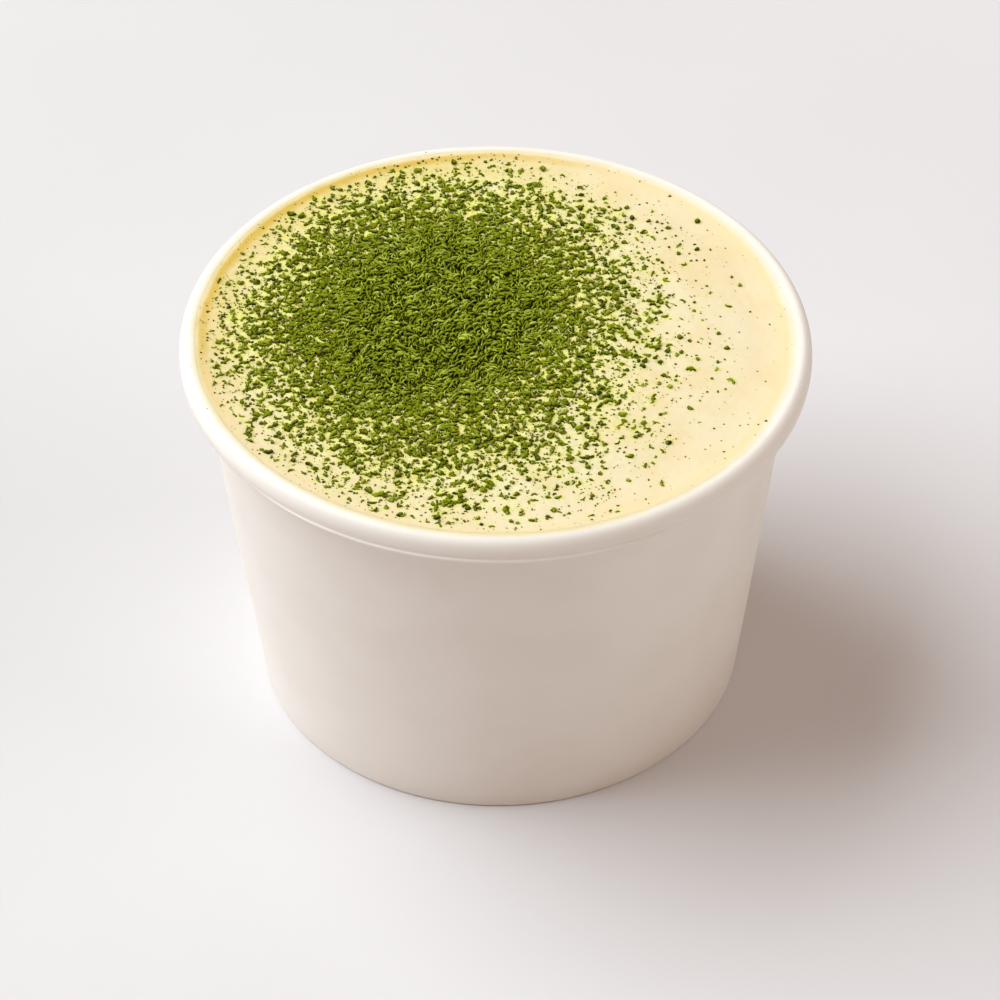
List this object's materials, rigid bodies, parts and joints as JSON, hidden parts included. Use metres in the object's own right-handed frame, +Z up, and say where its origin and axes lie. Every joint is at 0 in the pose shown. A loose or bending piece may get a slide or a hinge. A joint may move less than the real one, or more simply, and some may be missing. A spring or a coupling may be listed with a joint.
{
  "type": "matcha tiramisu in a paper cup",
  "caption": "Squat round paper dessert cup with a rolled rim, filled to the brim with cream and dusted with a heap of green matcha powder.",
  "frame": {"origin": "middle of the foot ring, on the surface that the cup stands on", "axes": "+Z up along the cup's axis, -Y towards the side that is seen, +X to its right"},
  "size_m": [0.096, 0.096, 0.0647],
  "materials": {
    "cup_paper": "smooth white coated paperboard, satin",
    "cream": "set mascarpone cream, pale yellow, softly moist, with fine pores",
    "matcha": "dry crumbly green tea powder, fully matt"
  },
  "bodies": {
    "root": {"cup_wall": "cup_paper", "cup_base": "cup_paper", "cream": "cream", "matcha": "matcha"}
  },
  "joints": []
}
